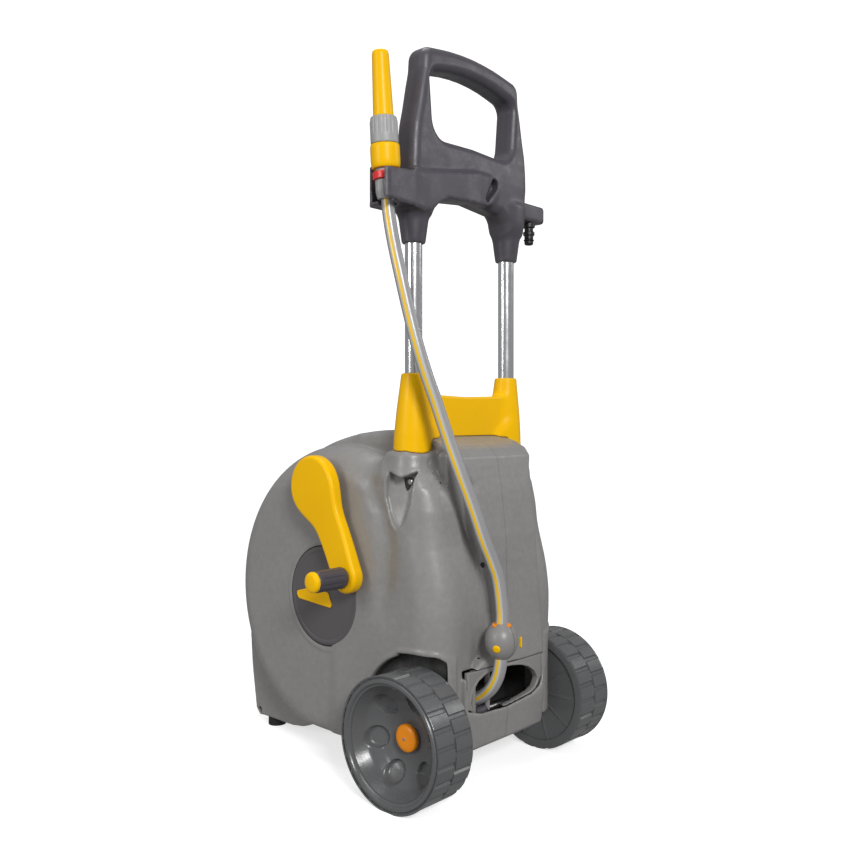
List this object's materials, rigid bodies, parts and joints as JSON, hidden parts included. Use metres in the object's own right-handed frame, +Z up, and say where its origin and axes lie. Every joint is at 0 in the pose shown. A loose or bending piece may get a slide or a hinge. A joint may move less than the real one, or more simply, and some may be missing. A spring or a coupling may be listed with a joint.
{
  "type": "hose reel cart",
  "caption": "Enclosed garden hose reel on two wheels, with a geared side crank, pull-out handle, and a hose from the front outlet to a nozzle parked at the handle.",
  "frame": {"origin": "bottom centre of the cart's bounding box, on the ground, measured without the hose and what is on it", "axes": "+X along the wheel axle away from the crank; +Y from the hose outlet to the rear feet; +Z up"},
  "size_m": [0.382, 0.484, 0.93],
  "materials": {
    "casing_grey": "fine moulded grain",
    "dark_plastic": "satin moulded",
    "cover_dark": "satin moulded",
    "amber_plastic": "smooth moulded",
    "wheel_plastic": "hard moulded plastic, scuffed",
    "light_plastic": "satin moulded",
    "gear_plastic": "natural acetal",
    "black_plastic": "satin moulded",
    "red_plastic": "smooth moulded",
    "steel": "zinc plated",
    "tube_aluminium": "polished",
    "rubber_black": "matt",
    "hose_pvc": "smooth PVC with a yellow stripe"
  },
  "bodies": {
    "root": {"left_shell": "casing_grey", "right_shell": "casing_grey", "shell_screws": "steel", "handle_bracket": "amber_plastic", "bracket_screws": "steel", "left_cover": "cover_dark", "cover_badge": "amber_plastic", "right_cover": "cover_dark", "outlet_bezel": "casing_grey", "roller_pin": "steel", "tube_guides": "black_plastic", "axle": "steel", "axle_clips": "steel", "feet": "rubber_black", "inlet_spindle": "black_plastic", "spindle_seals": "rubber_black", "crank_bush": "black_plastic", "hose_run": "hose_pvc", "hose_lead": "hose_pvc", "hose_stop_left": "casing_grey", "hose_stop_right": "casing_grey", "stop_buttons": "amber_plastic"},
    "wheel_left_body": {"wheel_left": "wheel_plastic", "hub_cap_left": "amber_plastic"},
    "wheel_right_body": {"wheel_right": "wheel_plastic", "hub_cap_right": "amber_plastic"},
    "drum": {"drum_core": "dark_plastic", "drum_flange_left": "dark_plastic", "drum_flange_right": "dark_plastic", "drum_gear": "gear_plastic", "wound_hose": "hose_pvc", "drum_elbow": "black_plastic"},
    "crank": {"crank_shaft": "steel", "crank_pinion": "gear_plastic", "crank_arm": "amber_plastic", "grip_pin": "steel", "grip_cap": "amber_plastic"},
    "grip": {"crank_grip": "dark_plastic"},
    "roller": {"guide_roller": "dark_plastic"},
    "inlet": {"inlet_elbow": "dark_plastic"},
    "handle": {"handle_front": "dark_plastic", "handle_back": "dark_plastic", "handle_screws": "steel", "left_tube": "tube_aluminium", "right_tube": "tube_aluminium", "tube_plugs": "black_plastic", "parking_spigot": "black_plastic", "spigot_seal": "rubber_black", "hose_nut": "light_plastic", "connector_body": "light_plastic", "connector_ring": "red_plastic", "nozzle_collar": "light_plastic", "nozzle_core": "black_plastic"},
    "sleeve": {"connector_sleeve": "amber_plastic"},
    "barrel": {"nozzle_barrel": "amber_plastic"}
  },
  "joints": [
    {"name": "handle_slide", "type": "slide", "parent": "root", "child": "handle", "axis": [0, 0, 1], "range_m": [-0.155, 0], "deforming": ["hose_run"]},
    {"name": "left_wheel_spin", "type": "hinge", "parent": "root", "child": "wheel_left_body", "pos_m": [-0.131, -0.159, 0.079], "axis": [1, 0, 0], "continuous": true},
    {"name": "right_wheel_spin", "type": "hinge", "parent": "root", "child": "wheel_right_body", "pos_m": [0.159, -0.159, 0.079], "axis": [1, 0, 0], "continuous": true},
    {"name": "drum_spin", "type": "hinge", "parent": "root", "child": "drum", "pos_m": [0.014, 0.009, 0.224], "axis": [1, 0, 0], "continuous": true},
    {"name": "crank_turn", "type": "hinge", "parent": "root", "child": "crank", "pos_m": [-0.106, 0.009, 0.3695], "axis": [1, 0, 0], "continuous": true},
    {"name": "grip_spin", "type": "hinge", "parent": "crank", "child": "grip", "pos_m": [-0.161, -0.055, 0.25865], "axis": [1, 0, 0], "continuous": true},
    {"name": "roller_spin", "type": "hinge", "parent": "root", "child": "roller", "pos_m": [-0.0295, -0.19, 0.095], "axis": [1, 0, 0], "continuous": true},
    {"name": "inlet_swivel", "type": "hinge", "parent": "root", "child": "inlet", "pos_m": [0.149, 0.009, 0.224], "axis": [1, 0, 0], "continuous": true},
    {"name": "sleeve_release", "type": "slide", "parent": "handle", "child": "sleeve", "axis": [-0.0698, 0, 0.9976], "range_m": [-0.0035, 0], "stiffness_N_per_m": 2000, "springref_m": 0.001},
    {"name": "nozzle_twist", "type": "hinge", "parent": "handle", "child": "barrel", "pos_m": [-0.1295, -0.127, 0.735], "axis": [-0.0698, 0, 0.9976], "range_deg": [-180, 180]}
  ],
  "couplings": [
    {"joint": "crank_turn", "follows": "drum_spin", "ratio": -2.88}
  ]
}
